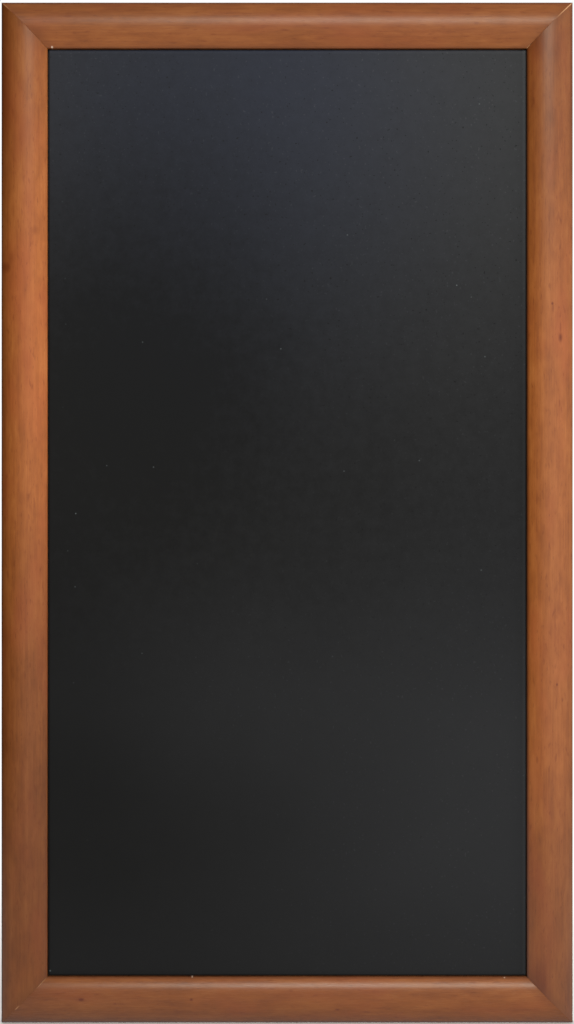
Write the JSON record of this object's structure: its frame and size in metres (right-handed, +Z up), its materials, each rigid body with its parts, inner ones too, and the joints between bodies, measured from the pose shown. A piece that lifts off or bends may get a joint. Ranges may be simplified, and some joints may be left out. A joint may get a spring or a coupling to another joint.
{
  "type": "framed wall chalkboard",
  "caption": "Upright wall chalkboard: black writing panel in a mitred, crowned brown wooden frame, hung by swinging D rings in folded straps on its back.",
  "frame": {"origin": "on the wall plane that the bumpers' rear faces share, behind the middle of the board", "axes": "+X to the right as seen from the front, +Y out of the back into the wall (the writing face looks along -Y), +Z up"},
  "size_m": [0.56, 0.027, 1],
  "materials": {
    "stained_wood": "fine-grained hardwood, brown stain, satin lacquer",
    "black_coating": "black writing coat, soft satin",
    "hardboard": "pressed hardboard",
    "backing_paper": "brown balancing paper",
    "zinc_plate": "bright zinc plate",
    "bare_steel": "bright steel",
    "bumper_rubber": "matt rubber"
  },
  "bodies": {
    "board": {"left_stile": "stained_wood", "right_stile": "stained_wood", "top_rail": "stained_wood", "bottom_rail": "stained_wood", "corner_nails": "bare_steel", "writing_surface": "black_coating", "panel_core": "hardboard", "backing_sheet": "backing_paper", "panel_points": "bare_steel", "left_strap": "zinc_plate", "right_strap": "zinc_plate", "upper_side_strap": "zinc_plate", "lower_side_strap": "zinc_plate", "hanger_screws": "bare_steel", "wall_bumpers": "bumper_rubber"},
    "left_ring": {"left_ring": "zinc_plate"},
    "right_ring": {"right_ring": "zinc_plate"},
    "upper_side_ring": {"upper_side_ring": "zinc_plate"},
    "lower_side_ring": {"lower_side_ring": "zinc_plate"}
  },
  "joints": [
    {"name": "left_ring_swing", "type": "hinge", "parent": "board", "child": "left_ring", "pos_m": [-0.2625, -0.00287, 0.34], "axis": [-1, 0, 0], "range_deg": [0, 178]},
    {"name": "right_ring_swing", "type": "hinge", "parent": "board", "child": "right_ring", "pos_m": [0.2625, -0.00287, 0.34], "axis": [-1, 0, 0], "range_deg": [0, 178]},
    {"name": "upper_side_ring_swing", "type": "hinge", "parent": "board", "child": "upper_side_ring", "pos_m": [-0.15, -0.00287, 0.4825], "axis": [0, 0, -1], "range_deg": [0, 178]},
    {"name": "lower_side_ring_swing", "type": "hinge", "parent": "board", "child": "lower_side_ring", "pos_m": [-0.15, -0.00287, -0.4825], "axis": [0, 0, -1], "range_deg": [0, 178]}
  ]
}
